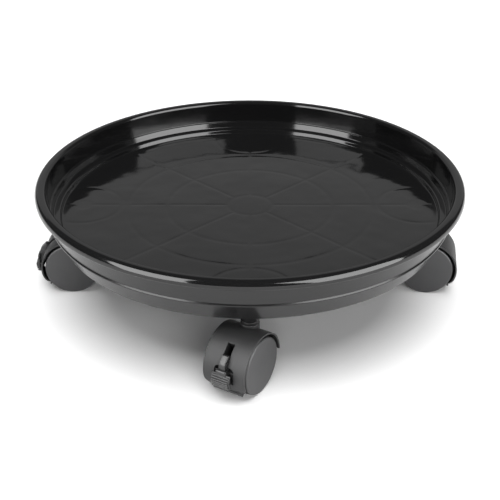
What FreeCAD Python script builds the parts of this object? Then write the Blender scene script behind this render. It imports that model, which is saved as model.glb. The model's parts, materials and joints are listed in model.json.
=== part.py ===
import FreeCAD, Part
import os
from math import cos, radians, sin, sqrt

# A round plant pot caddy: a stepped saucer tray on four twin-wheel swivel casters.
# Millimetres. The origin is on the ground under the tray's centre, +Z is up and
# the front caster is towards -Y.

# ---- driving dimensions -------------------------------------------------------
WHEEL_R = 19.4
TRAY_R = 152.5            # outside of the rolled rim
RIM_Z = 85.4              # centre of the rim's rolled bead
BEAD_R = 3.8
FLOOR_Z = 65.1            # top of the tray's floor
WALL = 2.4
PIVOT_R = 121.7           # distance of each caster's stem from the tray's centre
TRAIL = 10.0              # stem axis to wheel axle
HALF_WIDTH = 15.2         # a caster's middle to a wheel's outer face
RUN = 0.05                # radial running clearance

# name, place round the tray, swivel heading (both in degrees from +X), brake
CASTERS = [
    ("front", 270.0, 239.0, True),
    ("left", 180.0, 181.0, True),
    ("right", 0.0, -8.0, False),
    ("back", 90.0, 61.0, False),
]

# ---- tray -----------------------------------------------------------------------
SKIRT_Z = 54.0            # lower edge of the tray's outer wall
SKIRT_R = 136.6
STEP_Z = 67.0             # small outward step half way down the outer wall
STEP_R = 143.2
STEP_IN = 1.1
STEP_BEAD = 0.8           # the step's edge stands out by this
SHOULDER_R = 147.4        # outer wall where it meets the rim
LIP_T = 2.2               # the rim is an upside-down U with this wall
LIP_DROP = 1.8            # its outer lip's lower edge, below the bead's centre
LEDGE_Z = 68.2            # ring ledge just above the floor
LEDGE_OUT_R = 140.9
LEDGE_IN_R = 136.2
UPPER_LEDGE_Z = 72.7      # fine step in the inner wall
FLOOR_R = 135.4
RIB = 1.8
RIB_Z = 56.2              # lower edge of the ribs under the floor
RIB_COUNT = 8
RING_RIBS = [16.0, 60.0, 89.0]
SOCKET_RIB_R = 28.6
BOSS_R = 6.2
BOSS_Z = 44.9             # lower end of the sockets
SOCKET_R = 4.6
SOCKET_TOP_Z = 60.5

# ---- stem, grip ring and clip ---------------------------------------------------
STEM_R = 3.7
STEM_LOW_R = 3.3
STEM_GROOVE_R = 3.1
STEM_END_Z = 28.5
FLANGE_R = 5.8
FLANGE_T = 2.0
GRIP_Z = 48.0
GRIP_LEN = 10.0
GRIP_SLIT = 1.6
CLIP_Z = 29.9
CLIP_T = 0.8
CLIP_R = 4.7
CLIP_GROOVE_R = 2.7
CLIP_MOUTH = 4.0

# ---- hood -----------------------------------------------------------------------
HOOD_R = 22.3
HOOD_T = 1.1
HOOD_TIP = -41.0          # outer lower edge, degrees from the horizontal
HOOD_END = 176.0          # inner lower edge
TUCK_R = 17.8             # below the axle the hood is on this smaller arc, closing in
HOOD_CORNER = 8.5
HOOD_LIP = 1.6            # the lower edge stands out by this
HOOD_LIP_ANGLE = 2.8
WEB_HALF = 5.2            # half the thickness of the middle web between the wheels
WEB_HUB_R = 7.5
TOWER_GAP = 0.06          # between the stem's flange and the top of the hood
COLUMN_R = 6.2
COLUMN_Z = 30.8
WINDOW_Z = 27.8          # a window in the web under the stem, for fitting its clip
AXLE_R = 2.5
AXLE_HALF = 13.6
SNAP_Y = 11.2             # snap groove near each end of the axle
SNAP_W = 1.1
SNAP_DEPTH = 0.3
SNAP_GAP = 0.1            # round the wheel's lip in the snap groove

# ---- wheel ----------------------------------------------------------------------
WHEEL_IN = 5.8            # inner face, from the caster's middle
TREAD_T = 2.4
FACE_T = 1.8
HUB_R = 5.0
WHEEL_RIBS = 6
WHEEL_RIB_T = 1.4
WHEEL_RIB_INSET = 2.5     # the ribs stop this far short of the inner face

# ---- brake ----------------------------------------------------------------------
LEVER_HALF = 2.3
SLOT_HALF = 2.6
SLOT_IN_R = 12.0
SLOT_FROM, SLOT_TO = -11.0, 58.0
OPENING_HALF = 7.0        # a wider opening in the hood behind the thumb pad
OPENING_FROM, OPENING_TO = -11.0, 18.5
OPENING_CORNER = 3.0
BRAKE_PIVOT_R = 16.5
BRAKE_PIVOT_ANGLE = 22.0
BRAKE_PIN_R = 1.5
BRAKE_TRAVEL = 8.0        # degrees from released to locked
BAR_R = 0.55
BAR_LOCKED_ANGLE = 6.4    # where the cross bar bears on both treads
BAR_HALF = 13.0
STALK_IN_R = 15.6
STALK_FROM, STALK_TO = -3.0, 16.0
EYE_R = 3.2               # round the pivot pin
PAD_HALF = 6.7
PAD_IN_R = 24.5
PAD_TOP_R = 25.6          # outer radii at the pad's top and at its thickest
PAD_LOW_R = 26.9
PAD_LOW, PAD_THICK, PAD_TOP = -13.0, -2.0, 9.0
PAD_RIBS = 7
PAD_GROOVE_R = 0.5
NECK_HALF = 3.8
NECK_R = 26.6
NECK_FROM, NECK_TO = 6.0, 14.5
FINGER_R = 26.6           # at its thickest
FINGER_FROM, FINGER_THICK, FINGER_TO = 13.0, 24.0, 38.0

AXLE_Z = WHEEL_R
UP = FreeCAD.Vector(0, 0, 1)
ALONG_Y = FreeCAD.Vector(0, 1, 0)
HERE = FreeCAD.Vector(0, 0, 0)


# ---- small builders -------------------------------------------------------------
def vector(x, y, z):
    return FreeCAD.Vector(x, y, z)


def rounded_wire(corners):
    """A closed wire in the XZ plane from (x, z, corner radius)."""
    points = [vector(x, 0, z) for x, z, _ in corners]
    count = len(points)
    edges = []
    starts = []
    ends = []
    middles = []
    for i, (_, _, radius) in enumerate(corners):
        here = points[i]
        to_last = (points[i - 1] - here).normalize()
        to_next = (points[(i + 1) % count] - here).normalize()
        if radius <= 0:
            starts.append(here)
            ends.append(here)
            middles.append(None)
            continue
        half = to_last.getAngle(to_next) / 2
        reach = radius * cos(half) / sin(half)
        bisector = (to_last + to_next).normalize()
        centre = here + bisector * (radius / sin(half))
        starts.append(here + to_last * reach)
        ends.append(here + to_next * reach)
        middles.append(centre - bisector * radius)
    for i in range(count):
        if middles[i] is not None:
            edges.append(Part.Arc(starts[i], middles[i], ends[i]).toShape())
        after = starts[(i + 1) % count]
        if (after - ends[i]).Length > 1e-6:
            edges.append(Part.LineSegment(ends[i], after).toShape())
    return Part.Wire(edges)


def lathe(corners):
    """A solid of revolution about Z from (radius, z, corner radius)."""
    return Part.Face(rounded_wire(corners)).revolve(HERE, UP, 360)


def tube(outer, inner, low, high):
    ring = Part.makeCylinder(outer, high - low, vector(0, 0, low))
    return ring.cut(Part.makeCylinder(inner, high - low, vector(0, 0, low)))


def bar_y(radius, low, high, x=TRAIL, z=AXLE_Z):
    """A cylinder along Y, by default on the wheels' axle."""
    return Part.makeCylinder(radius, high - low, vector(x, low, z), ALONG_Y)


def about_axle(radius, angle):
    """The point at a radius and an angle round the axle, in the XZ plane."""
    turn = radians(angle)
    return TRAIL + radius * cos(turn), AXLE_Z + radius * sin(turn)


def arc_about_axle(radius, start, end):
    middle = (start + end) / 2
    stops = []
    for angle in (start, middle, end):
        x, z = about_axle(radius, angle)
        stops.append(vector(x, 0, z))
    return Part.Arc(*stops).toShape()


def sector(inner, outer, start, end, half):
    """Part of a barrel round the axle, between two angles and |y| <= half."""
    edges = [arc_about_axle(outer, start, end)]
    tip_x, tip_z = about_axle(inner, end)
    top_x, top_z = about_axle(outer, end)
    edges.append(Part.LineSegment(vector(top_x, 0, top_z), vector(tip_x, 0, tip_z)).toShape())
    low_x, low_z = about_axle(inner, start)
    if inner > 0:
        edges.append(arc_about_axle(inner, end, start))
    out_x, out_z = about_axle(outer, start)
    edges.append(Part.LineSegment(vector(low_x, 0, low_z), vector(out_x, 0, out_z)).toShape())
    return extrude_y(Part.Wire(edges), half)


def extrude_y(wire, half):
    """The face inside a wire in the XZ plane, thickened to |y| <= half."""
    face = Part.Face(wire)
    face.translate(vector(0, -half, 0))
    return face.extrude(vector(0, 2 * half, 0))


def mirrored(shape):
    return shape.mirror(HERE, ALONG_Y)


def edges_where(shape, test):
    return [edge for edge in shape.Edges if test(edge)]


def is_circle(edge, radius, level=None, axis=2):
    """True for a round edge of this radius, at this level along the axis."""
    curve = edge.Curve
    if not isinstance(curve, Part.Circle) or abs(curve.Radius - radius) > 1e-4:
        return False
    return level is None or abs(curve.Center[axis] - level) < 1e-4


# ---- tray -----------------------------------------------------------------------
def skirt_radius(z):
    """The outer wall's radius between its lower edge and the step."""
    share = (z - SKIRT_Z) / (STEP_Z - SKIRT_Z)
    return SKIRT_R + share * (STEP_R - STEP_IN - SKIRT_R)


def tray_shell():
    bead_in = TRAY_R - 2 * BEAD_R
    floor_under = FLOOR_Z - WALL
    return lathe([
        (0, FLOOR_Z, 0),
        (FLOOR_R, FLOOR_Z, 0.8),
        (LEDGE_IN_R, LEDGE_Z, 1.1),
        (LEDGE_OUT_R, LEDGE_Z, 0.9),
        (LEDGE_OUT_R + 1.1, UPPER_LEDGE_Z, 0.4),
        (LEDGE_OUT_R + 2.4, UPPER_LEDGE_Z + 0.1, 0.6),
        (bead_in, RIM_Z + BEAD_R, 2.4),
        (TRAY_R, RIM_Z + BEAD_R, 3.7),
        (TRAY_R, RIM_Z - LIP_DROP, 0.8),
        (TRAY_R - LIP_T, RIM_Z - LIP_DROP, 0.6),
        (TRAY_R - LIP_T, RIM_Z + BEAD_R - LIP_T, 0.8),
        (SHOULDER_R, RIM_Z + BEAD_R - LIP_T, 0.8),
        (STEP_R + 0.2, STEP_Z + 1.5, 0.6),
        (STEP_R + STEP_BEAD, STEP_Z + 0.8, 0.4),
        (STEP_R + STEP_BEAD, STEP_Z, 0.4),
        (STEP_R - STEP_IN, STEP_Z - 0.5, 0.4),
        (SKIRT_R, SKIRT_Z, 0.7),
        (SKIRT_R - WALL, SKIRT_Z, 0.5),
        (skirt_radius(floor_under) - WALL - 0.6, floor_under, 0),
        (0, floor_under, 0),
    ])


def tray_ribs():
    """Ribs under the floor: eight spokes, three rings and one round each socket."""
    floor_under = FLOOR_Z - WALL
    low, high = RIB_Z, floor_under + 0.5
    ribs = []
    for i in range(RIB_COUNT):
        length = SKIRT_R - WALL / 2 - RING_RIBS[0]
        spoke = Part.makeBox(length, RIB, high - low, vector(RING_RIBS[0], -RIB / 2, low))
        spoke.rotate(HERE, UP, i * 360 / RIB_COUNT)
        ribs.append(spoke)
    for radius in RING_RIBS:
        ribs.append(tube(radius + RIB / 2, radius - RIB / 2, low, high))
    for _, place, _, _ in CASTERS:
        ring = tube(SOCKET_RIB_R + RIB / 2, SOCKET_RIB_R - RIB / 2, low, high)
        boss = Part.makeCylinder(BOSS_R, high - BOSS_Z, vector(0, 0, BOSS_Z))
        boss = boss.makeFillet(0.6, edges_where(boss, lambda e: is_circle(e, BOSS_R, BOSS_Z)))
        for piece in (ring, boss):
            piece.translate(vector(PIVOT_R, 0, 0))
            piece.rotate(HERE, UP, place)
            ribs.append(piece)
    inside = Part.makeCone(
        SKIRT_R - WALL / 2, skirt_radius(high) - WALL / 2, high - SKIRT_Z, vector(0, 0, SKIRT_Z))
    below = Part.makeCylinder(SKIRT_R - WALL / 2, SKIRT_Z - BOSS_Z, vector(0, 0, BOSS_Z))
    room = inside.fuse(below)
    return [rib.common(room) for rib in ribs]


def tray():
    body = tray_shell().multiFuse(tray_ribs())
    for _, place, _, _ in CASTERS:
        socket = Part.makeCylinder(SOCKET_R, SOCKET_TOP_Z - BOSS_Z, vector(PIVOT_R, 0, BOSS_Z))
        socket.rotate(HERE, UP, place)
        body = body.cut(socket)
    return body.removeSplitter()


# ---- caster pieces, with the stem on the Z axis and the wheels towards +X --------
def stem():
    grip_top = GRIP_Z + GRIP_LEN
    return lathe([
        (0, STEM_END_Z, 0),
        (STEM_LOW_R, STEM_END_Z, 0.5),
        (STEM_LOW_R, CLIP_Z, 0),
        (CLIP_GROOVE_R, CLIP_Z, 0),
        (CLIP_GROOVE_R, CLIP_Z + CLIP_T, 0),
        (STEM_LOW_R, CLIP_Z + CLIP_T, 0),
        (STEM_LOW_R, BOSS_Z - FLANGE_T, 0),
        (FLANGE_R, BOSS_Z - FLANGE_T, 0.4),
        (FLANGE_R, BOSS_Z, 0.4),
        (STEM_R, BOSS_Z, 0),
        (STEM_R, GRIP_Z, 0),
        (STEM_GROOVE_R, GRIP_Z, 0),
        (STEM_GROOVE_R, grip_top, 0),
        (STEM_R, grip_top, 0),
        (STEM_R, SOCKET_TOP_Z - 0.5, 0.8),
        (0, SOCKET_TOP_Z - 0.5, 0),
    ])


def grip_ring():
    """A split spring sleeve in the stem's groove, tight in the tray's socket."""
    ring = tube(SOCKET_R, STEM_GROOVE_R, GRIP_Z, GRIP_Z + GRIP_LEN)
    slit = Part.makeBox(
        2 * SOCKET_R, GRIP_SLIT, GRIP_LEN + 2, vector(0, -GRIP_SLIT / 2, GRIP_Z - 1))
    return ring.cut(slit)


def stem_clip():
    """A retaining clip that keeps the hood on the stem."""
    ring = tube(CLIP_R, CLIP_GROOVE_R, CLIP_Z, CLIP_Z + CLIP_T)
    mouth = Part.makeBox(
        2 * CLIP_R, CLIP_MOUTH, CLIP_T + 2, vector(-2 * CLIP_R, -CLIP_MOUTH / 2, CLIP_Z - 1))
    return ring.cut(mouth)


def hood_radius(angle):
    """The hood's outer radius round the axle: below the axle's level it closes in."""
    if angle >= 0:
        return HOOD_R
    offset = HOOD_R - TUCK_R
    across = offset * sin(radians(angle))
    return offset * cos(radians(angle)) + sqrt(TUCK_R ** 2 - across ** 2)


def hood_space(inset):
    """The inside of the hood's round outline, moved inwards by an inset."""
    full = bar_y(HOOD_R - inset, -HALF_WIDTH, HALF_WIDTH)
    above = Part.makeBox(
        2 * HOOD_R, 2 * HALF_WIDTH, HOOD_R, vector(TRAIL - HOOD_R, -HALF_WIDTH, AXLE_Z))
    behind = Part.makeBox(
        HOOD_R, 2 * HALF_WIDTH, 2 * HOOD_R, vector(TRAIL - HOOD_R, -HALF_WIDTH, AXLE_Z - HOOD_R))
    tucked = bar_y(TUCK_R - inset, -HALF_WIDTH, HALF_WIDTH, TRAIL + HOOD_R - TUCK_R)
    return full.common(above.multiFuse([behind, tucked])).removeSplitter()


def hood(braked):
    tower_top = BOSS_Z - FLANGE_T - TOWER_GAP
    barrel = sector(0, HOOD_R, HOOD_TIP, HOOD_END, HALF_WIDTH).common(hood_space(0))
    rim = edges_where(barrel, lambda e: is_circle(e, HOOD_R) or is_circle(e, TUCK_R))
    barrel = barrel.makeFillet(0.4, rim)
    column = Part.makeCylinder(COLUMN_R, tower_top - COLUMN_Z, vector(0, 0, COLUMN_Z))
    column = column.makeFillet(
        0.6, edges_where(column, lambda e: is_circle(e, COLUMN_R, tower_top)))
    tip_r = hood_radius(HOOD_TIP)
    lip = sector(tip_r - HOOD_T, tip_r + HOOD_LIP, HOOD_TIP, HOOD_TIP + HOOD_LIP_ANGLE, HALF_WIDTH)
    body = barrel.multiFuse([column, lip, bar_y(WEB_HUB_R, -WEB_HALF, WEB_HALF)])
    wheel_space = hood_space(HOOD_T).cut(bar_y(2 * HOOD_R, -WEB_HALF, WEB_HALF))
    body = body.cut(wheel_space)
    body = body.cut(hood_corners())
    # The stem's bore, and a window under it for fitting the clip.
    body = body.cut(Part.makeCylinder(STEM_LOW_R + RUN, 60, vector(0, 0, WINDOW_Z)))
    window = CLIP_R + 0.7
    body = body.cut(Part.makeBox(
        2 * window, 2 * WEB_HALF + 2, COLUMN_Z - WINDOW_Z, vector(-window, -WEB_HALF - 1, WINDOW_Z)))
    body = body.cut(bar_y(AXLE_R, -WEB_HALF - 1, WEB_HALF + 1))
    if braked:
        body = body.cut(brake_room())
    return body.removeSplitter()


def hood_corners():
    """What rounds the two lower outer corners of the hood."""
    _, low = about_axle(hood_radius(HOOD_TIP), HOOD_TIP)
    side = HALF_WIDTH - HOOD_CORNER
    start = TRAIL + HOOD_R / 3
    block = Part.makeBox(
        HOOD_R, HOOD_CORNER + 1, HOOD_CORNER + 1, vector(start, side, low - 1))
    round_part = Part.makeCylinder(
        HOOD_CORNER, HOOD_R, vector(start, side, low + HOOD_CORNER), vector(1, 0, 0))
    corner = block.cut(round_part)
    return corner.fuse(mirrored(corner))


def brake_room():
    """The slot for the lever, the opening behind its pad, and the pivot pin's hole."""
    slot = sector(SLOT_IN_R, HOOD_R + 2, SLOT_FROM, SLOT_TO, SLOT_HALF)
    opening = sector(WHEEL_R - 0.6, HOOD_R + 2, OPENING_FROM, OPENING_TO, OPENING_HALF)
    _, top = about_axle(HOOD_R, OPENING_TO)
    opening = opening.makeFillet(OPENING_CORNER, edges_where(
        opening, lambda e: isinstance(e.Curve, Part.Line) and e.CenterOfMass.z > top - 2
        and abs(abs(e.CenterOfMass.y) - OPENING_HALF) < 0.01))
    x, z = about_axle(BRAKE_PIVOT_R, BRAKE_PIVOT_ANGLE)
    pin_hole = bar_y(BRAKE_PIN_R, -WEB_HALF - 1, WEB_HALF + 1, x, z)
    return slot.multiFuse([opening, pin_hole])


def axle():
    pin = bar_y(AXLE_R, -AXLE_HALF, AXLE_HALF)
    ends = edges_where(pin, lambda e: is_circle(e, AXLE_R))
    pin = pin.makeChamfer(0.5, ends)
    groove = bar_y(AXLE_R + 1, SNAP_Y, SNAP_Y + SNAP_W)
    groove = groove.cut(bar_y(AXLE_R - SNAP_DEPTH, SNAP_Y, SNAP_Y + SNAP_W))
    return pin.cut(groove).cut(mirrored(groove))


def released_bar():
    """Where the brake bar's axis is with the brake off, clear of the treads."""
    pivot_x, pivot_z = about_axle(BRAKE_PIVOT_R, BRAKE_PIVOT_ANGLE)
    locked_x, locked_z = about_axle(WHEEL_R + RUN + BAR_R, BAR_LOCKED_ANGLE)
    arm = vector(locked_x - pivot_x, 0, locked_z - pivot_z)
    arm = FreeCAD.Rotation(ALONG_Y, -BRAKE_TRAVEL).multVec(arm)
    return pivot_x + arm.x, pivot_z + arm.z


def wheel():
    """The wheel on the +Y side: a closed outer face, a tread, a hub and ribs."""
    body = bar_y(WHEEL_R, WHEEL_IN, HALF_WIDTH)
    for level, radius in ((HALF_WIDTH, 1.3), (WHEEL_IN, 0.7)):
        body = body.makeFillet(
            radius, edges_where(body, lambda e: is_circle(e, WHEEL_R, level, 1)))
    hollow = bar_y(WHEEL_R - TREAD_T, WHEEL_IN - 1, HALF_WIDTH - FACE_T)
    body = body.cut(hollow.cut(bar_y(HUB_R, WHEEL_IN - 1, HALF_WIDTH)))
    rib_from = WHEEL_IN + WHEEL_RIB_INSET
    for i in range(WHEEL_RIBS):
        rib = Part.makeBox(
            WHEEL_R - TREAD_T / 2, HALF_WIDTH - FACE_T / 2 - rib_from, WHEEL_RIB_T,
            vector(TRAIL, rib_from, AXLE_Z - WHEEL_RIB_T / 2))
        rib.rotate(vector(TRAIL, 0, AXLE_Z), ALONG_Y, i * 360 / WHEEL_RIBS)
        body = body.fuse(rib)
    bore = bar_y(AXLE_R + RUN, WHEEL_IN - 1, AXLE_HALF + 0.3)
    lip = bar_y(AXLE_R + 1, SNAP_Y + SNAP_GAP, SNAP_Y + SNAP_W - SNAP_GAP)
    lip = lip.cut(bar_y(AXLE_R - SNAP_DEPTH + SNAP_GAP, SNAP_Y, SNAP_Y + SNAP_W))
    return body.cut(bore.cut(lip)).removeSplitter()


def brake_pin():
    x, z = about_axle(BRAKE_PIVOT_R, BRAKE_PIVOT_ANGLE)
    return bar_y(BRAKE_PIN_R, -WEB_HALF, WEB_HALF, x, z)


def brake_bar():
    """The cross bar that bears on both wheels' treads when the brake is on."""
    x, z = released_bar()
    bar = bar_y(BAR_R, -BAR_HALF, BAR_HALF, x, z)
    return bar.makeChamfer(0.15, edges_where(bar, lambda e: is_circle(e, BAR_R)))


def brake_lever():
    """A rocker in the hood's slot: a finger above and a ribbed pad below."""
    pivot_x, pivot_z = about_axle(BRAKE_PIVOT_R, BRAKE_PIVOT_ANGLE)
    finger = extrude_y(rounded_wire([
        (*about_axle(BRAKE_PIVOT_R, FINGER_FROM), 0),
        (*about_axle(FINGER_R - 1.2, FINGER_FROM), 1.0),
        (*about_axle(FINGER_R, FINGER_THICK), 5.0),
        (*about_axle(FINGER_R - 1.7, FINGER_TO), 1.4),
        (*about_axle(BRAKE_PIVOT_R, FINGER_TO), 0.5),
    ]), LEVER_HALF)
    neck = sector(PAD_IN_R, NECK_R, NECK_FROM, NECK_TO, NECK_HALF)
    neck = neck.makeFillet(1.2, outer_edges(neck, NECK_HALF, NECK_R))
    stalk = sector(STALK_IN_R, PAD_IN_R + 0.6, STALK_FROM, STALK_TO, LEVER_HALF)
    eye = bar_y(EYE_R, -LEVER_HALF, LEVER_HALF, pivot_x, pivot_z)
    body = finger.multiFuse([stalk, eye, neck, brake_pad()])
    bar_x, bar_z = released_bar()
    body = body.cut(bar_y(BRAKE_PIN_R + RUN, -LEVER_HALF - 1, LEVER_HALF + 1, pivot_x, pivot_z))
    body = body.cut(bar_y(BAR_R, -LEVER_HALF - 1, LEVER_HALF + 1, bar_x, bar_z))
    return body.removeSplitter()


def outer_edges(shape, half, radius):
    """The edges along Y that are a shape's full width and at its outer radius."""
    return edges_where(shape, lambda e: abs(e.Length - 2 * half) < 0.01
                       and abs(radius_of(e) - radius) < 0.1)


def radius_of(edge):
    """How far an edge's middle is from the axle."""
    middle = edge.CenterOfMass
    return vector(middle.x - TRAIL, 0, middle.z - AXLE_Z).Length


def brake_pad():
    """The thumb pad, thickest at its lower end, with fine ribs across it."""
    pad = extrude_y(rounded_wire([
        (*about_axle(PAD_IN_R, PAD_TOP), 0.3),
        (*about_axle(PAD_TOP_R, PAD_TOP), 0.6),
        (*about_axle(PAD_LOW_R, PAD_THICK), 4.0),
        (*about_axle(PAD_LOW_R - 0.7, PAD_LOW), 0.8),
        (*about_axle(PAD_IN_R, PAD_LOW), 0.3),
        (*about_axle(PAD_IN_R + 0.3, (PAD_TOP + PAD_LOW) / 2), 6.0),
    ]), PAD_HALF)
    grooves = []
    for i in range(PAD_RIBS):
        angle = PAD_TOP - 3.0 - i * (PAD_TOP - PAD_LOW - 5.0) / (PAD_RIBS - 1)
        share = min(1.0, (PAD_TOP - angle) / (PAD_TOP - PAD_THICK))
        radius = PAD_TOP_R + share * (PAD_LOW_R - PAD_TOP_R) + PAD_GROOVE_R / 2
        x, z = about_axle(radius, angle)
        grooves.append(bar_y(PAD_GROOVE_R, -PAD_HALF + 0.8, PAD_HALF - 0.8, x, z))
    return pad.cut(grooves[0].multiFuse(grooves[1:]))


# ---- assembly -------------------------------------------------------------------
def place_caster(shape, place, heading):
    """Turn a caster's piece to its heading and put it at its place under the tray."""
    placed = shape.copy()
    placed.rotate(HERE, UP, heading)
    turn = radians(place)
    placed.translate(vector(PIVOT_R * cos(turn), PIVOT_R * sin(turn), 0))
    return placed


def caster_pieces(braked):
    right = wheel()
    pieces = {
        "stem": stem(),
        "grip_ring": grip_ring(),
        "stem_clip": stem_clip(),
        "hood": hood(braked),
        "axle": axle(),
        "wheel_a": right,
        "wheel_b": mirrored(right),
    }
    if braked:
        pieces["brake_lever"] = brake_lever()
        pieces["brake_bar"] = brake_bar()
        pieces["brake_pin"] = brake_pin()
    return pieces


def main():
    os.makedirs("parts", exist_ok=True)
    nodes = {"tray": tray()}
    kinds = {braked: caster_pieces(braked) for braked in (True, False)}
    for name, place, heading, braked in CASTERS:
        for piece, shape in kinds[braked].items():
            nodes[f"{name}_{piece}"] = place_caster(shape, place, heading)
    for node, shape in nodes.items():
        if not shape.isValid() or len(shape.Solids) != 1:
            print("not one valid solid:", node)
        shape.Solids[0].exportStep(f"parts/{node}.step")
    print(len(nodes), "nodes")


main()
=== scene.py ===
import json
from math import atan2, cos, degrees, exp, hypot, pi, radians, sin, sqrt, tan

import bmesh
import bpy
from mathutils import Matrix, Vector, noise

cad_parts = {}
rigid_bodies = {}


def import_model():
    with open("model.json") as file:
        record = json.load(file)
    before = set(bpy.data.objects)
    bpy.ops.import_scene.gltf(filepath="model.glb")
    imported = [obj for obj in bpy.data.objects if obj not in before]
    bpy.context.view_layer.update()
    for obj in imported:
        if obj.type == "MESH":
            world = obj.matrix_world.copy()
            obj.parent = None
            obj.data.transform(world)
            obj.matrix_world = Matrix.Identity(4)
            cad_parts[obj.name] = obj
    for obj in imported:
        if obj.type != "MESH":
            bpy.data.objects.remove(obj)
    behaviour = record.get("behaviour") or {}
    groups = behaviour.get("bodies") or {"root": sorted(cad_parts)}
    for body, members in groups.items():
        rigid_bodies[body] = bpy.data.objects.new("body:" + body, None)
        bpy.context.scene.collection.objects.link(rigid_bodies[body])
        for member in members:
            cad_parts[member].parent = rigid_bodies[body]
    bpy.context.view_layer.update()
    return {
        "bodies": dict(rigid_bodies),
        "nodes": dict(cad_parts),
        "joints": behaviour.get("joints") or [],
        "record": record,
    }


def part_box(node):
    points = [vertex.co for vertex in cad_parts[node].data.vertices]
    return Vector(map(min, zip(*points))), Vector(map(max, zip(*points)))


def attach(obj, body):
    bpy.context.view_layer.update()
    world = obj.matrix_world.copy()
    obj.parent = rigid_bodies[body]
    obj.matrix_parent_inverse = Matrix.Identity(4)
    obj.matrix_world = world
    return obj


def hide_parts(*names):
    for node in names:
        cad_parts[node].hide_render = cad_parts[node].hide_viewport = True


# The looks of the plant pot caddy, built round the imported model. Lengths in the
# builders below are in millimetres and become metres when a mesh is made.

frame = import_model()

MM = 0.001
scene = bpy.context.scene

# ---- sizes read from the frame ------------------------------------------------
tray_low, tray_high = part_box("tray")
TRAY_R = tray_high.x / MM
TOP_Z = tray_high.z / MM
BOSS_Z = tray_low.z / MM
FLOOR_Z = frame["record"]["mounts"][0]["pos_m"][2] / MM
WHEEL_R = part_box("left_wheel_a")[1].z / 2 / MM
BODY_JOINTS = {joint["child"]: joint for joint in frame["joints"]}

# ---- tray sizes ----------------------------------------------------------------
BEAD_R = 3.8
RIM_Z = TOP_Z - BEAD_R
WALL = 2.4
SKIRT_Z = RIM_Z - 31.4
SKIRT_R = 136.6
STEP_Z = RIM_Z - 18.4
STEP_R = 143.2
STEP_IN = 1.1
STEP_BEAD = 0.8
SHOULDER_R = 147.4
LIP_T = 2.2
LIP_DROP = 1.8
LEDGE_Z = FLOOR_Z + 3.1
LEDGE_OUT_R = 140.9
LEDGE_IN_R = 136.2
UPPER_LEDGE_Z = FLOOR_Z + 7.6
FLOOR_R = 135.4
FLAT_R = FLOOR_R - 2.0
PIVOT_R = 121.7
RIB = 1.8
RIB_Z = RIM_Z - 29.2
RIB_TOP_Z = FLOOR_Z - WALL + 0.4
RIB_REACH = SKIRT_R - WALL / 2
RING_RIBS = [16.0, 60.0, 89.0]
SPOKES = 8
SOCKET_RIB_R = 28.6
BOSS_R = 6.2
SOCKET_R = 4.6

# ---- caster sizes ----------------------------------------------------------------
TRAIL = 10.0
AXLE_Z = WHEEL_R
HALF_WIDTH = 15.2
HOOD_R = 22.3
HOOD_T = 1.1
HOOD_TIP, HOOD_END = -41.0, 176.0
TUCK_R = 17.8
HOOD_CORNER = 8.5
HOOD_LIP = 1.6
HOOD_LIP_ANGLE = 2.8
WEB_HALF = 5.2
WEB_HUB_R = 7.5
FLANGE_T = 2.0            # the stem's flange, between the socket and the hood
TOWER_GAP = 0.06
COLUMN_R = 6.2
COLUMN_Z = 30.8
COLUMN_TOP_Z = BOSS_Z - FLANGE_T - TOWER_GAP
WINDOW_Z = 27.8
WINDOW_HALF = 5.4
STEM_R = 3.35
AXLE_R = 2.55
AXLE_HALF = 13.6
WHEEL_IN = 5.8
TREAD_T = 2.4
FACE_T = 1.8
HUB_R = 5.0
WHEEL_RIBS = 6
WHEEL_RIB_HALF = 0.7
WHEEL_RIB_BACK = 2.5
SLOT_HALF = 2.6
SLOT_IN_R = 12.0
SLOT_FROM, SLOT_TO = -11.0, 58.0
OPENING_HALF = 7.0
OPENING_FROM, OPENING_TO = -11.0, 18.5
OPENING_CORNER = 3.0
LEVER_HALF = 2.3
PAD_HALF = 6.7
PAD_IN_R, PAD_TOP_R, PAD_LOW_R = 24.5, 25.6, 26.9
PAD_LOW, PAD_THICK, PAD_TOP = -13.0, -2.0, 9.0
PAD_TAPER = 0.7
GRIP_RIBS = 6
GRIP_RIB_R = 0.55
NECK_HALF = 3.8
NECK_R = 26.6
NECK_FROM, NECK_TO = 6.0, 14.5
FINGER_R = 26.6
FINGER_FROM, FINGER_THICK, FINGER_TO = 13.0, 24.0, 38.0
BRAKE_PIVOT_R, BRAKE_PIVOT_ANGLE = 16.5, 22.0
STALK_IN_R = 15.6
STALK_FROM, STALK_TO = -3.0, 16.0
EYE_R = 3.2


# ---- mesh helpers ---------------------------------------------------------------
def new_object(name, mesh):
    made = bpy.data.objects.new(name, mesh)
    scene.collection.objects.link(made)
    return made


def mesh_object(name, points, faces, smooth=40.0):
    """An object from points in millimetres, smooth except at edges sharper than this."""
    mesh = bpy.data.meshes.new(name)
    mesh.from_pydata([Vector(p) * MM for p in points], [], faces)
    made = new_object(name, mesh)
    tidy_normals(made)
    shade(made, smooth)
    return made


def tidy_normals(made):
    work = bmesh.new()
    work.from_mesh(made.data)
    bmesh.ops.remove_doubles(work, verts=work.verts, dist=1e-7)
    bmesh.ops.recalc_face_normals(work, faces=work.faces)
    work.to_mesh(made.data)
    work.free()


def shade(made, angle):
    made.data.polygons.foreach_set("use_smooth", [True] * len(made.data.polygons))
    made.data.set_sharp_from_angle(angle=radians(angle))


def apply_modifiers(made):
    graph = bpy.context.evaluated_depsgraph_get()
    graph.update()
    mesh = bpy.data.meshes.new_from_object(made.evaluated_get(graph))
    made.modifiers.clear()
    made.data = mesh


def bevel(made, width, segments=3, angle=35.0):
    """Rounds the edges sharper than an angle, in millimetres."""
    step = made.modifiers.new("bevel", "BEVEL")
    step.width = width * MM
    step.segments = segments
    step.limit_method = "ANGLE"
    step.angle_limit = radians(angle)
    step.harden_normals = False
    apply_modifiers(made)
    shade(made, angle)


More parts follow.
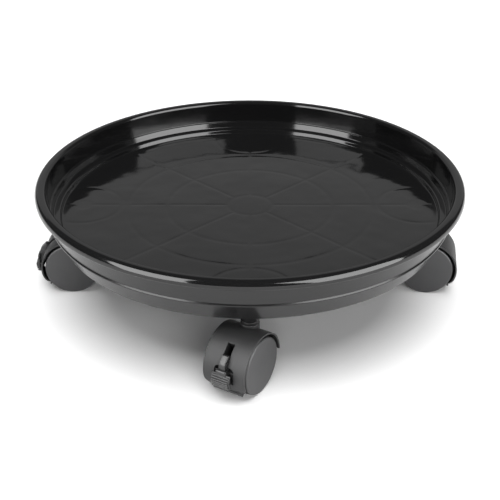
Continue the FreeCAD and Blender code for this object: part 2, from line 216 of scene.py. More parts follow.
def join(name, pieces):
    """One object from several meshes that are all in the same frame."""
    work = bmesh.new()
    for piece in pieces:
        work.from_mesh(piece.data)
    mesh = bpy.data.meshes.new(name)
    work.to_mesh(mesh)
    work.free()
    for piece in pieces:
        bpy.data.objects.remove(piece)
    made = new_object(name, mesh)
    shade(made, 40.0)
    return made


def rounded(corners, closed=True, steps=5):
    """An outline from (a, b, corner radius), with each corner as a short arc."""
    outline = []
    count = len(corners)
    for i, (a, b, radius) in enumerate(corners):
        here = Vector((a, b))
        if radius <= 0 or (not closed and i in (0, count - 1)):
            outline.append(here)
            continue
        to_last = (Vector(corners[i - 1][:2]) - here).normalized()
        to_next = (Vector(corners[(i + 1) % count][:2]) - here).normalized()
        half = to_last.angle(to_next) / 2
        bisector = (to_last + to_next).normalized()
        centre = here + bisector * (radius / sin(half))
        first = here + to_last * (radius / tan(half)) - centre
        last = here + to_next * (radius / tan(half)) - centre
        for k in range(steps + 1):
            share = k / steps
            turn = first.angle(last)
            mixed = (first * sin((1 - share) * turn) + last * sin(share * turn)) / sin(turn)
            outline.append(centre + mixed)
    return outline


def lathe(name, outline, segments, along_y=False, closed=True, smooth=40.0):
    """Turns an outline of (radius, height) about Z, or about the wheels' axle."""
    points = []
    rings = []
    for radius, height in outline:
        if radius < 1e-6:
            rings.append([len(points)] * segments)
            points.append(turned(0, 0, height, along_y))
            continue
        rings.append(list(range(len(points), len(points) + segments)))
        for k in range(segments):
            points.append(turned(radius, 2 * pi * k / segments, height, along_y))
    faces = []
    count = len(rings)
    for i in range(count if closed else count - 1):
        low, high = rings[i], rings[(i + 1) % count]
        for k in range(segments):
            after = (k + 1) % segments
            ring = [low[k], low[after], high[after], high[k]]
            face = list(dict.fromkeys(ring))
            if len(face) > 2:
                faces.append(face)
    return mesh_object(name, points, faces, smooth)


def turned(radius, angle, height, along_y):
    if along_y:
        return (TRAIL + radius * cos(angle), height, AXLE_Z + radius * sin(angle))
    return (radius * cos(angle), radius * sin(angle), height)


def extruded(name, outline, low, high):
    """A prism along Y from an outline of (x, z)."""
    count = len(outline)
    points = [(x, low, z) for x, z in outline] + [(x, high, z) for x, z in outline]
    faces = [list(range(count)), list(range(2 * count - 1, count - 1, -1))]
    for i in range(count):
        after = (i + 1) % count
        faces.append([i, after, count + after, count + i])
    return mesh_object(name, points, faces, 35.0)


def box(name, low, high):
    (ax, ay, az), (bx, by, bz) = low, high
    outline = [(ax, az), (bx, az), (bx, bz), (ax, bz)]
    return extruded(name, outline, ay, by)


def about_axle(radius, angle):
    """The (x, z) of a point at a radius and an angle in degrees about the wheels' axle."""
    turn = radians(angle)
    return TRAIL + radius * cos(turn), AXLE_Z + radius * sin(turn)


def spaced(start, end, step):
    """Angles from start to end, evenly spaced and about a step apart."""
    count = max(2, int(abs(end - start) / step) + 1)
    return [start + (end - start) * k / (count - 1) for k in range(count)]


def sector_outline(outer, inner, angles):
    """A sector about the axle: outer is a function of the angle, and inner 0 is the axle."""
    outline = [about_axle(outer(a), a) for a in angles]
    if inner > 0:
        outline += [about_axle(inner, a) for a in reversed(angles)]
    else:
        outline.append(about_axle(0, 0))
    return outline


def ring_outline(inner, outer, start, end, step=2.0):
    """The outline of part of a barrel round the axle, seen along the axle."""
    return sector_outline(lambda _: outer, inner, spaced(start, end, step))


def disc_outline(radius, angle, size, count):
    """A circle of a given size, centred at a radius and an angle about the axle."""
    x, z = about_axle(radius, angle)
    turns = [2 * pi * k / count for k in range(count)]
    return [(x + size * cos(turn), z + size * sin(turn)) for turn in turns]


# ---- material helpers ------------------------------------------------------------
class Graph:
    """A material's node tree, with short calls for the nodes used below."""

    def __init__(self, name):
        self.material = bpy.data.materials.new(name)
        self.material.use_nodes = True
        self.tree = self.material.node_tree
        self.shader = self.tree.nodes["Principled BSDF"]
        self.place = self.add("ShaderNodeTexCoord").outputs["Object"]

    def add(self, kind, **settings):
        node = self.tree.nodes.new(kind)
        for key, value in settings.items():
            setattr(node, key, value)
        return node

    def feed(self, socket, value):
        """Links an output to a socket, or sets the socket to a plain value."""
        if isinstance(value, bpy.types.NodeSocket):
            self.tree.links.new(value, socket)
        else:
            socket.default_value = value

    def plus(self, first, second):
        node = self.add("ShaderNodeMath", operation="ADD")
        self.feed(node.inputs[0], first)
        self.feed(node.inputs[1], second)
        return node.outputs[0]

    def noise(self, scale, detail, roughness, place=None, distortion=0.0):
        node = self.add("ShaderNodeTexNoise")
        self.feed(node.inputs["Vector"], place or self.place)
        node.inputs["Scale"].default_value = scale
        node.inputs["Detail"].default_value = detail
        node.inputs["Roughness"].default_value = roughness
        node.inputs["Distortion"].default_value = distortion
        return node.outputs["Fac"]

    def cells(self, scale):
        node = self.add("ShaderNodeTexVoronoi")
        self.feed(node.inputs["Vector"], self.place)
        node.inputs["Scale"].default_value = scale
        return node.outputs["Distance"]

    def spread(self, value, low, high):
        """A 0 to 1 value stretched to run from low to high."""
        node = self.add("ShaderNodeMapRange")
        self.feed(node.inputs["Value"], value)
        node.inputs["To Min"].default_value = low
        node.inputs["To Max"].default_value = high
        return node.outputs["Result"]

    def stretched(self, x, y, z):
        """Object coordinates scaled on each axis, for a grain that runs one way."""
        node = self.add("ShaderNodeVectorMath", operation="MULTIPLY")
        self.feed(node.inputs[0], self.place)
        node.inputs[1].default_value = (x, y, z)
        return node.outputs[0]

    def mix_colour(self, share, first, second):
        node = self.add("ShaderNodeMix", data_type="RGBA")
        self.feed(node.inputs["Factor"], share)
        node.inputs["A"].default_value = (*first, 1)
        node.inputs["B"].default_value = (*second, 1)
        return node.outputs["Result"]

    def bump(self, height, distance, strength=1.0, under=None):
        """Raised detail, with the distance in millimetres."""
        node = self.add("ShaderNodeBump")
        node.inputs["Strength"].default_value = strength
        node.inputs["Distance"].default_value = distance * MM
        self.feed(node.inputs["Height"], height)
        if under is not None:
            self.feed(node.inputs["Normal"], under)
        return node.outputs["Normal"]

    def finish(self, **inputs):
        """Feeds the shader's inputs, named with _ for a space, and returns the material."""
        for key, value in inputs.items():
            self.feed(self.shader.inputs[key.replace("_", " ")], value)
        return self.material


def grey(level):
    """A black plastic's colour: barely cooler than a neutral grey."""
    return (level, level, level * 1.03)


def gloss_black():
    """Polished moulded plastic: a soft wave in the surface and faint handling haze."""
    g = Graph("gloss_black")
    wave = g.noise(26.0, 2.0, 0.45)
    haze = g.noise(14.0, 5.0, 0.6)
    specks = g.noise(1900.0, 2.0, 0.5)
    colour = g.mix_colour(haze, grey(0.0045), grey(0.0065))
    rough = g.plus(g.spread(haze, 0.055, 0.10), g.spread(specks, 0.0, 0.02))
    return g.finish(Base_Color=colour, Roughness=rough, IOR=1.50, Normal=g.bump(wave, 0.10))


def textured_black():
    """Spark-eroded mould texture, as on a caster's hood."""
    g = Graph("textured_black")
    grain = g.cells(1500.0)
    fine = g.noise(2600.0, 3.0, 0.6)
    patch = g.noise(60.0, 3.0, 0.5)
    normal = g.bump(grain, 0.10, 0.55)
    normal = g.bump(fine, 0.05, 0.5, under=normal)
    colour = g.mix_colour(patch, grey(0.016), grey(0.024))
    rough = g.spread(patch, 0.50, 0.62)
    return g.finish(Base_Color=colour, Roughness=rough, IOR=1.48, Normal=normal)


def outside_black():
    """The tray's outer wall: the same plastic with a softer, satin polish."""
    g = Graph("outside_black")
    wave = g.noise(30.0, 3.0, 0.5)
    haze = g.noise(55.0, 4.0, 0.6, place=g.stretched(1.0, 1.0, 0.35))
    fine = g.noise(2200.0, 2.0, 0.5)
    normal = g.bump(fine, 0.004, 0.6, under=g.bump(wave, 0.06))
    colour = g.mix_colour(haze, grey(0.0085), grey(0.0115))
    return g.finish(
        Base_Color=colour, Roughness=g.spread(haze, 0.18, 0.25), IOR=1.44, Normal=normal)


def painted_shade_black():
    """The inside of the hoods and the wheels' treads: unpolished, and much darker than the outer faces
    of the same plastic, which is painted shade.
    """
    g = Graph("painted_shade_black")
    fine = g.noise(1800.0, 3.0, 0.6)
    dust = g.noise(120.0, 4.0, 0.6)
    return g.finish(
        Base_Color=g.mix_colour(dust, grey(0.004), grey(0.008)), Roughness=g.spread(dust, 0.6, 0.75),
        IOR=1.45, Normal=g.bump(fine, 0.02, 0.6))


def satin_black():
    """Smooth satin moulding of the wheels, with faint turning marks and scuffs."""
    g = Graph("satin_black")
    flow = g.noise(90.0, 4.0, 0.55, distortion=0.6)
    fine = g.noise(1500.0, 3.0, 0.6)
    scuffs = g.noise(220.0, 6.0, 0.7, distortion=1.5)
    normal = g.bump(fine, 0.012, 0.7)
    colour = g.mix_colour(flow, grey(0.036), grey(0.048))
    rough = g.plus(g.spread(flow, 0.38, 0.46), g.spread(scuffs, -0.03, 0.06))
    return g.finish(Base_Color=colour, Roughness=rough, IOR=1.48, Normal=normal)


def lever_black():
    """The brake levers' smooth nylon, slightly polished by use."""
    g = Graph("lever_black")
    rubbed = g.noise(160.0, 3.0, 0.5)
    fine = g.noise(1200.0, 2.0, 0.5)
    colour = g.mix_colour(rubbed, grey(0.016), grey(0.024))
    rough = g.spread(rubbed, 0.22, 0.32)
    return g.finish(Base_Color=colour, Roughness=rough, IOR=1.5, Normal=g.bump(fine, 0.01, 0.5))


def plated_steel():
    """Zinc-plated turned steel."""
    g = Graph("plated_steel")
    turning = g.noise(900.0, 2.0, 0.5, place=g.stretched(0.15, 0.15, 1.0))
    spangle = g.cells(300.0)
    colour = g.mix_colour(spangle, (0.40, 0.40, 0.39), (0.52, 0.52, 0.50))
    rough = g.spread(turning, 0.26, 0.42)
    return g.finish(
        Base_Color=colour, Metallic=1.0, Roughness=rough, Normal=g.bump(turning, 0.01, 0.6))


def blackened_steel():
    """Oiled black oxide on turned steel."""
    g = Graph("blackened_steel")
    turning = g.noise(800.0, 2.0, 0.5, place=g.stretched(0.15, 0.15, 1.0))
    wear = g.noise(120.0, 5.0, 0.65)
    colour = g.mix_colour(wear, (0.020, 0.020, 0.021), (0.045, 0.044, 0.043))
    return g.finish(
        Base_Color=colour, Metallic=0.6, Roughness=g.spread(turning, 0.32, 0.48),
        Normal=g.bump(turning, 0.01, 0.6))


GLOSS = gloss_black()
OUTSIDE = outside_black()
TEXTURED = textured_black()
SATIN = satin_black()
# painted shade for the hoods' inner faces and the wheels' treads
PAINTED_SHADE = painted_shade_black()
LEVER = lever_black()
STEEL = plated_steel()
BLACK_STEEL = blackened_steel()


def coat(made, material):
    made.data.materials.clear()
    made.data.materials.append(material)


def coat_also(made, material, chosen):
    """A second material on a caster's faces that a test picks out.

    The test is given the face's distance from the axle, how far it looks away from
    the axle (-1 to 1), and its distance from the caster's middle plane.
    """
    made.data.materials.append(material)
    for face in made.data.polygons:
        from_axle = Vector((face.center.x / MM - TRAIL, face.center.z / MM - AXLE_Z))
        outward = Vector((face.normal.x, face.normal.z)).dot(from_axle.normalized())
        if chosen(from_axle.length, outward, abs(face.center.y / MM)):
            face.material_index = 1


# ---- tray ------------------------------------------------------------------------
SEGMENTS = 768
FLOOR_STEP = 1.2
SINK_DEPTH = 0.13
SINK_WIDTH = 1.5
SOCKET_SINK = 0.8         # the sockets' marks, as a share of the ribs'
WAVE = 0.26
WAVES = [(34.0, 1.0, 0.3), (15.0, 0.4, 7.1), (8.0, 0.2, 3.7)]   # length, share, place in the noise
RELIEF_R = FLOOR_R - 1.0
RELIEF_FADE = 3.0


def skirt_radius(z):
    """The skirt's outer radius at a height."""
    share = (z - SKIRT_Z) / (STEP_Z - SKIRT_Z)
    return SKIRT_R + share * (STEP_R - STEP_IN - SKIRT_R)


def dent(distance):
    """The depth of a sink mark at a distance from the rib under it."""
    return -SINK_DEPTH * exp(-(distance / SINK_WIDTH) ** 2)


def floor_relief(x, y):
    """The floor's gentle waves, and the sink marks over the ribs under it."""
    radius = hypot(x, y)
    marks = 0.0
    if radius > RING_RIBS[0]:
        for k in range(SPOKES // 2):
            turn = 2 * pi * k / SPOKES
            marks = min(marks, dent(abs(x * sin(turn) - y * cos(turn))))
    for ring in RING_RIBS:
        marks = min(marks, dent(abs(radius - ring)))
    for k in range(4):
        centre_x, centre_y = PIVOT_R * cos(k * pi / 2), PIVOT_R * sin(k * pi / 2)
        from_socket = hypot(x - centre_x, y - centre_y)
        marks = min(marks, dent(abs(from_socket - SOCKET_RIB_R)))
        marks = min(marks, SOCKET_SINK * dent(max(0.0, from_socket - BOSS_R)))
    wave = sum(
        share * noise.noise(Vector((x / length, y / length, level))) for length, share, level in WAVES)
    return marks + WAVE * wave


def tray_outline():
    """The tray's section from the floor's edge over the rim, down the skirt and back inside."""
    bead_in = TRAY_R - 2 * BEAD_R
    floor_under = FLOOR_Z - WALL
    return rounded([
        (FLAT_R, FLOOR_Z, 0),
        (FLOOR_R, FLOOR_Z, 0.8),
        (LEDGE_IN_R, LEDGE_Z, 1.1),
        (LEDGE_OUT_R, LEDGE_Z, 0.9),
        (LEDGE_OUT_R + 1.1, UPPER_LEDGE_Z, 0.4),
        (LEDGE_OUT_R + 2.4, UPPER_LEDGE_Z + 0.1, 0.6),
        (bead_in, RIM_Z + BEAD_R, 2.4),
        (TRAY_R, RIM_Z + BEAD_R, 3.7),
        (TRAY_R, RIM_Z - LIP_DROP, 0.8),
        (TRAY_R - LIP_T, RIM_Z - LIP_DROP, 0.6),
        (TRAY_R - LIP_T, RIM_Z + BEAD_R - LIP_T, 0.8),
        (SHOULDER_R, RIM_Z + BEAD_R - LIP_T, 0.8),
        (STEP_R + 0.15, STEP_Z + 1.8, 0.6),
        (STEP_R + STEP_BEAD, STEP_Z + 0.8, 0.4),
        (STEP_R + STEP_BEAD, STEP_Z, 0.4),
        (STEP_R - STEP_IN, STEP_Z - 0.5, 0.4),
        (SKIRT_R, SKIRT_Z, 0.7),
        (SKIRT_R - WALL, SKIRT_Z, 0.5),
        (skirt_radius(floor_under) - WALL - 0.6, floor_under, 0.5),
        (0, floor_under, 0),
    ], closed=False, steps=7)


def tray_shell():
    """The turned shell, with a fine grid of rings on its floor for the relief."""
    rows = int(FLAT_R / FLOOR_STEP)
    floor = [(FLAT_R * k / rows, FLOOR_Z) for k in range(rows)]
    shell = lathe("tray_shell", floor + tray_outline(), SEGMENTS, closed=False, smooth=50.0)
    top = (FLOOR_Z - 0.01) * MM
    for vertex in shell.data.vertices:
        x, y, z = vertex.co
        radius = hypot(x, y) / MM
        if z > top and radius < RELIEF_R:
            fade = min(1.0, (RELIEF_R - radius) / RELIEF_FADE)
            vertex.co.z = z + fade * floor_relief(x / MM, y / MM) * MM
    return shell


def rib_ring(name, radius):
    outline = rounded([
        (radius - RIB / 2, RIB_TOP_Z, 0),
        (radius - RIB / 2, RIB_Z, 0.4),
        (radius + RIB / 2, RIB_Z, 0.4),
        (radius + RIB / 2, RIB_TOP_Z, 0),
    ], steps=3)
    return lathe(name, outline, 192)


def cut_to_skirt(ring):
    """Keeps only the part of a socket's ring that is inside the tray's skirt."""
    work = bmesh.new()
    work.from_mesh(ring.data)
    outside = [v for v in work.verts if hypot(v.co.x, v.co.y) > RIB_REACH * MM]
    bmesh.ops.delete(work, geom=outside, context="VERTS")
    bmesh.ops.holes_fill(work, edges=work.edges, sides=0)
    bmesh.ops.recalc_face_normals(work, faces=work.faces)
    work.to_mesh(ring.data)
    work.free()


def socket_boss():
    """A caster's socket under the floor, with a draft on its outside and a closed top."""
    roof_z = RIB_TOP_Z - 2
    return lathe("boss", rounded([
        (SOCKET_R, BOSS_Z, 0.3),
        (BOSS_R, BOSS_Z, 0.6),
        (BOSS_R + 0.4, RIB_TOP_Z, 0),
        (0, RIB_TOP_Z, 0),
        (0, roof_z, 0),
        (SOCKET_R, roof_z, 0),
    ], steps=4), 96)


def tray_ribs():
    """The rings, the spokes, and a ring and a boss round each caster's socket."""
    pieces = [rib_ring("rib_ring", radius) for radius in RING_RIBS]
    for k in range(SPOKES):
        spoke = box("spoke", (RING_RIBS[0], -RIB / 2, RIB_Z), (RIB_REACH, RIB / 2, RIB_TOP_Z))
        bevel(spoke, 0.35, 2)
        spoke.data.transform(Matrix.Rotation(2 * pi * k / SPOKES, 4, "Z"))
        pieces.append(spoke)
    for k in range(4):
        ring = rib_ring("socket_ring", SOCKET_RIB_R)
        boss = socket_boss()
        for piece in (ring, boss):
            piece.data.transform(Matrix.Translation((PIVOT_R * MM, 0, 0)))
            piece.data.transform(Matrix.Rotation(k * pi / 2, 4, "Z"))
        cut_to_skirt(ring)
        pieces += [ring, boss]
    return pieces


def make_tray():
    """The whole moulding: glossy, and satin where it faces outward under the rim."""
    tray = join("tray_moulding", [tray_shell()] + tray_ribs())
    coat(tray, GLOSS)
    tray.data.materials.append(OUTSIDE)
    for face in tray.data.polygons:
        outward = face.normal.x * face.center.x + face.normal.y * face.center.y
        radius = hypot(face.center.x, face.center.y)
        if outward > 0.2 * radius and face.center.z < (RIM_Z - LIP_DROP) * MM:
            face.material_index = 1
    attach(tray, "tray_body")
    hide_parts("tray")


# ---- caster pieces, with the stem on the Z axis and the wheels towards +X ---------
def hood_radius(angle, inset=0.0):
    """The hood's radius round the axle: below the axle's level it closes in on the wheels."""
    if angle >= 0:
        return HOOD_R - inset
    offset = HOOD_R - TUCK_R
    across = offset * sin(radians(angle))
    return offset * cos(radians(angle)) + sqrt((TUCK_R - inset) ** 2 - across ** 2)


def hood_half_width(angle):
    """Half the hood's width at an angle: its lower outer corners are rounded."""
    _, z = about_axle(hood_radius(angle), angle)
    _, low = about_axle(hood_radius(HOOD_TIP), HOOD_TIP)
    above = z - low
    if angle > 0 or above >= HOOD_CORNER:
        return HALF_WIDTH
    inset = HOOD_CORNER - sqrt(max(0.0, HOOD_CORNER ** 2 - (HOOD_CORNER - above) ** 2))
    return HALF_WIDTH - inset


def hood_angles():
    """Close together round the lower corners, even above them, with one at each end of the slot."""
    corner_span, corner_rows, step = 20.0, 16, 2.5
    first = HOOD_TIP + 0.02
    angles = [first + corner_span * (k / corner_rows) ** 2 for k in range(corner_rows + 1)]
    while angles[-1] < HOOD_END - step - 0.1:
        angles.append(angles[-1] + step)
    angles.append(HOOD_END)
    for stop in (SLOT_FROM, SLOT_TO):
        nearest = min(range(len(angles)), key=lambda i: abs(angles[i] - stop))
        angles[nearest] = stop
    return angles


def hood_shell(braked):
    """The hood's curved wall, with the lever's slot left open on a braked caster."""
    angles = hood_angles()
    across = [-1.0, -0.8, -0.6, -0.4, -SLOT_HALF / HALF_WIDTH]
    across += [0.0] + [-share for share in reversed(across)]
    points = []
    for angle in angles:
        half = hood_half_width(angle)
        x, z = about_axle(hood_radius(angle), angle)
        for share in across:
            beside_slot = abs(share * HALF_WIDTH) <= SLOT_HALF + 0.01
            points.append((x, share * (HALF_WIDTH if beside_slot else half), z))
    faces = []
    wide = len(across)
    for i in range(len(angles) - 1):
        for k in range(wide - 1):
            in_slot = abs(across[k] + across[k + 1]) * HALF_WIDTH / 2 < SLOT_HALF
            in_span = SLOT_FROM - 0.01 <= angles[i] and angles[i + 1] <= SLOT_TO + 0.01
            if braked and in_slot and in_span:
                continue
            corner = i * wide + k
            faces.append([corner, corner + 1, corner + wide + 1, corner + wide])
    shell = mesh_object("hood_shell", points, faces)
    outward_from_axle(shell)
    thick = shell.modifiers.new("thick", "SOLIDIFY")
    thick.thickness = HOOD_T * MM
    thick.offset = -1
    thick.use_even_offset = True
    apply_modifiers(shell)
    bevel(shell, 0.3, 3, 40.0)
    return shell


def outward_from_axle(made):
    """Turns the faces of an open sheet so that they face away from the axle."""
    work = bmesh.new()
    work.from_mesh(made.data)
    axle = Vector((TRAIL, 0, AXLE_Z)) * MM
    for face in work.faces:
        away = face.calc_center_median() - axle
        away.y = 0
        if face.normal.dot(away) < 0:
            face.normal_flip()
    work.to_mesh(made.data)
    work.free()


def hood_part(start, end, inner=0.0, low=-WEB_HALF, high=WEB_HALF):
    """A slice of the middle web between two angles, up to inside the hood's wall."""
    outline = sector_outline(lambda a: hood_radius(a, HOOD_T - 0.2), inner, spaced(start, end, 2.0))
    return extruded("web", outline, low, high)


def hood_web(braked):
    """The plates between the wheels, and apart from them the axle's hub and the stem's column."""
    if braked:
        pieces = [
            hood_part(SLOT_TO, HOOD_END),
            extruded("web", ring_outline(0, SLOT_IN_R, SLOT_FROM, SLOT_TO), -WEB_HALF, WEB_HALF),
            hood_part(HOOD_TIP + 1, SLOT_FROM),
        ]
        for side in (-1, 1):
            span = sorted((side * SLOT_HALF, side * WEB_HALF))
            pieces.append(hood_part(SLOT_FROM, SLOT_TO, SLOT_IN_R - 0.2, *span))
    else:
        pieces = [hood_part(HOOD_TIP + 1, HOOD_END)]
    hub = lathe("hub", rounded([
        (AXLE_R, -WEB_HALF, 0.2),
        (WEB_HUB_R, -WEB_HALF, 0.4),
        (WEB_HUB_R, WEB_HALF, 0.4),
        (AXLE_R, WEB_HALF, 0.2),
    ], steps=2), 64, along_y=True)
    column = lathe("column", rounded([
        (STEM_R, COLUMN_Z, 0.2),
        (COLUMN_R, COLUMN_Z, 0.5),
        (COLUMN_R, COLUMN_TOP_Z, 0.6),
        (STEM_R, COLUMN_TOP_Z, 0.2),
    ], steps=4), 96)
    squeeze_column(column)
    return pieces, [hub, column]


def cut_out(piece, cutters):
    for cutter in cutters:
        step = piece.modifiers.new("cut", "BOOLEAN")
        step.operation = "DIFFERENCE"
        step.object = cutter
        step.solver = "EXACT"
    apply_modifiers(piece)


def hood_cutters(braked):
    """The stem's bore, the window under it for its clip, and the opening behind the pad."""
    above, beyond = 60.0, 20.0     # past the column's top, and past the hood's sides
    bore = [(0, WINDOW_Z), (STEM_R, WINDOW_Z), (STEM_R, above), (0, above)]
    cutters = [
        lathe("bore", bore, 64),
        box("window", (-WINDOW_HALF, -beyond, WINDOW_Z), (WINDOW_HALF, beyond, COLUMN_Z)),
    ]
    if braked:
        cutters.append(opening_cutter())
    return cutters


def opening_cutter():
    """The room behind the thumb pad, with its two upper corners rounded."""
    rows = 24
    inner, outer = WHEEL_R - 0.6, HOOD_R + 2
    corner = degrees(OPENING_CORNER / HOOD_R)
    points = []
    for k in range(rows + 1):
        angle = OPENING_FROM + (OPENING_TO - OPENING_FROM) * k / rows
        over = max(0.0, (angle - OPENING_TO + corner) / corner)
        half = OPENING_HALF - OPENING_CORNER * (1 - sqrt(max(0.0, 1 - over ** 2)))
        for radius, side in ((inner, -1), (inner, 1), (outer, 1), (outer, -1)):
            x, z = about_axle(radius, angle)
            points.append((x, side * half, z))
    last = len(points) - 4
    faces = [[0, 1, 2, 3], [last + 3, last + 2, last + 1, last]]
    for i in range(0, last, 4):
        for k in range(4):
            after = (k + 1) % 4
            faces.append([i + k, i + 4 + k, i + 4 + after, i + after])
    return mesh_object("opening", points, faces)


def hood_lip():
    """The raised bead along the hood's lower edge."""
    radius = hood_radius(HOOD_TIP)
    outline = ring_outline(
        radius - 0.6, radius + HOOD_LIP, HOOD_TIP, HOOD_TIP + HOOD_LIP_ANGLE, 0.6)
    half = HALF_WIDTH - HOOD_CORNER / 2
    lip = extruded("lip", outline, -half, half)
    bevel(lip, 0.3, 2, 30.0)
    return lip


def squeeze_column(column):
    """Flattens the column's sides where it stands between the wheels."""
    for vertex in column.data.vertices:
        x, y, z = vertex.co / MM
        from_axle = hypot(x - TRAIL, z - AXLE_Z)
        if from_axle < HOOD_R - HOOD_T and abs(y) > WEB_HALF:
            vertex.co.y = WEB_HALF * MM * (1 if y > 0 else -1)


def make_hood(braked):
    cutters = hood_cutters(braked)
    plates, turned_parts = hood_web(braked)
    shell = hood_shell(braked)
    for piece in [shell] + plates:
        cut_out(piece, cutters)
    for cutter in cutters:
        bpy.data.objects.remove(cutter)
    return join("hood", [shell, hood_lip()] + plates + turned_parts)


def make_wheel(side):
    """A wheel with a closed outer face, hollow behind; side is +1 or -1."""
    outer, inner, back = side * HALF_WIDTH, side * WHEEL_IN, side * (HALF_WIDTH - FACE_T)
    bore_end = side * (AXLE_HALF + 0.3)
    outline = rounded([
        (0, outer, 0),
        (WHEEL_R, outer, 1.3),
        (WHEEL_R, inner, 0.7),
        (WHEEL_R - TREAD_T, inner, 0.4),
        (WHEEL_R - TREAD_T, back, 0.6),
        (HUB_R, back, 0.6),
        (HUB_R, inner, 0.4),
        (AXLE_R, inner, 0.3),
        (AXLE_R, bore_end, 0),
        (0, bore_end, 0),
    ], closed=False, steps=5)
    pieces = [lathe("wheel_body", outline, 192, along_y=True, closed=False)]
    low, high = sorted((side * (WHEEL_IN + WHEEL_RIB_BACK), side * (HALF_WIDTH - FACE_T / 2)))
    near, far = TRAIL + HUB_R - 0.4, TRAIL + WHEEL_R - TREAD_T / 2
    for k in range(WHEEL_RIBS):
        rib = box("rib", (near, low, AXLE_Z - WHEEL_RIB_HALF), (far, high, AXLE_Z + WHEEL_RIB_HALF))
        turn_about_axle(rib, k * 360 / WHEEL_RIBS)
        pieces.append(rib)
    return join("wheel", pieces)


def turn_about_axle(made, angle):
    axle = Matrix.Translation(Vector((TRAIL, 0, AXLE_Z)) * MM)
    made.data.transform(axle @ Matrix.Rotation(radians(angle), 4, "Y") @ axle.inverted())


def make_lever():
    """The rocker: a finger above, and a ribbed thumb pad below."""
    finger = extruded("finger", finger_outline(), -LEVER_HALF, LEVER_HALF)
    bevel(finger, 0.4, 3, 30.0)
    stalk = extruded(
        "stalk", ring_outline(STALK_IN_R, PAD_IN_R + 0.6, STALK_FROM, STALK_TO),
        -LEVER_HALF, LEVER_HALF)
    eye = extruded(
        "eye", disc_outline(BRAKE_PIVOT_R, BRAKE_PIVOT_ANGLE, EYE_R, 32), -LEVER_HALF, LEVER_HALF)
    pad = extruded("pad", pad_outline(), -PAD_HALF, PAD_HALF)
    bevel(pad, 0.35, 3, 30.0)
    neck = extruded(
        "neck", ring_outline(PAD_IN_R, NECK_R, NECK_FROM, NECK_TO), -NECK_HALF, NECK_HALF)
    bevel(neck, 1.0, 4, 30.0)
    return join("lever", [finger, stalk, eye, pad, neck] + pad_ribs())


def finger_outline():
    return rounded([
        (*about_axle(BRAKE_PIVOT_R, FINGER_FROM), 0),
        (*about_axle(FINGER_R - 1.4, FINGER_FROM), 1.0),
        (*about_axle(FINGER_R - 0.3, FINGER_THICK), 5.0),
        (*about_axle(FINGER_R - 2.0, FINGER_TO), 1.4),
        (*about_axle(BRAKE_PIVOT_R, FINGER_TO), 0.5),
    ], steps=8)


def pad_outline():
    return rounded([
        (*about_axle(PAD_IN_R, PAD_TOP), 0.3),
        (*about_axle(PAD_TOP_R, PAD_TOP), 0.6),
        (*about_axle(PAD_LOW_R, PAD_THICK), 4.0),
        (*about_axle(PAD_LOW_R - PAD_TAPER, PAD_LOW), 0.8),
        (*about_axle(PAD_IN_R, PAD_LOW), 0.3),
        (*about_axle(PAD_IN_R + 0.3, (PAD_TOP + PAD_LOW) / 2), 6.0),
    ])


def pad_ribs():
    """Fine grip ribs across the thumb pad, which follow its face and stop short of its sides."""
    first, last = PAD_TOP - 3.0, PAD_LOW + 2.0
    half = PAD_HALF - 0.7
    ribs = []
    for k in range(GRIP_RIBS):
        angle = first + k * (last - first) / (GRIP_RIBS - 1)
        share = min(1.0, (PAD_TOP - angle) / (PAD_TOP - PAD_THICK))
        radius = PAD_TOP_R + share * (PAD_LOW_R - PAD_TOP_R) + 0.15
        if angle < PAD_THICK:
            radius -= PAD_TAPER * (PAD_THICK - angle) / (PAD_THICK - PAD_LOW)
        ribs.append(extruded("grip_rib", disc_outline(radius, angle, GRIP_RIB_R, 12), -half, half))
    return ribs


# ---- casters in their places -------------------------------------------------------
def caster_matrix(name):
    """From the caster's own frame to the row's: its stem's place and its heading."""
    stem = Vector(BODY_JOINTS[f"{name}_caster"]["pos_m"])
    axle = Vector(BODY_JOINTS[f"{name}_wheel_a_body"]["pos_m"])
    heading = atan2(axle.y - stem.y, axle.x - stem.x)
    return Matrix.Translation((stem.x, stem.y, 0)) @ Matrix.Rotation(heading, 4, "Z")


def inside_hood(radius, outward, _):
    """True on the wall's inner face and on the web, the faces that get the painted shade."""
    return outward < -0.5 or radius < HOOD_R - 2 * HOOD_T and outward < 0.9


def on_tread(_, outward, across):
    """True on a wheel's rolling face, inside its rounded outer edge, the faces that get the painted
    shade.
    """
    return outward > 0.7 and across < HALF_WIDTH - 1.0


def place(source, name, matrix, body, node, slot):
    """A copy of a caster's piece, moved to its caster and attached to its body, with its CAD node
    hidden.
    """
    piece = new_object(name, source.data.copy())
    piece.data.transform(matrix)
    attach(piece, body)
    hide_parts(node)


def make_casters():
    """Each kind of piece is made once, and copied to the casters that have it."""
    hoods = {braked: make_hood(braked) for braked in (True, False)}
    wheels = {"a": make_wheel(1), "b": make_wheel(-1)}
    lever = make_lever()
    for hood in hoods.values():
        coat(hood, TEXTURED)
        # The hoods' inner faces get a darker black: painted shade inside the hoods.
        coat_also(hood, PAINTED_SHADE, inside_hood)
    for wheel in wheels.values():
        coat(wheel, SATIN)
        # The treads get the same darker black: painted shade where they sit under the hoods.
        coat_also(wheel, PAINTED_SHADE, on_tread)
    coat(lever, LEVER)
    for name in ("front", "left", "right", "back"):
        matrix = caster_matrix(name)
        braked = f"{name}_brake" in frame["bodies"]
        place(hoods[braked], f"{name}_hood_moulding", matrix, f"{name}_caster",
              f"{name}_hood", "hood_textured_black")
        for letter, wheel in wheels.items():
            place(wheel, f"{name}_wheel_{letter}_moulding", matrix, f"{name}_wheel_{letter}_body",
                  f"{name}_wheel_{letter}", "wheel_satin_black")
        if braked:
            place(lever, f"{name}_lever_moulding", matrix, f"{name}_brake",
                  f"{name}_brake_lever", "lever_black")
    for source in [*hoods.values(), *wheels.values(), lever]:
        bpy.data.objects.remove(source)


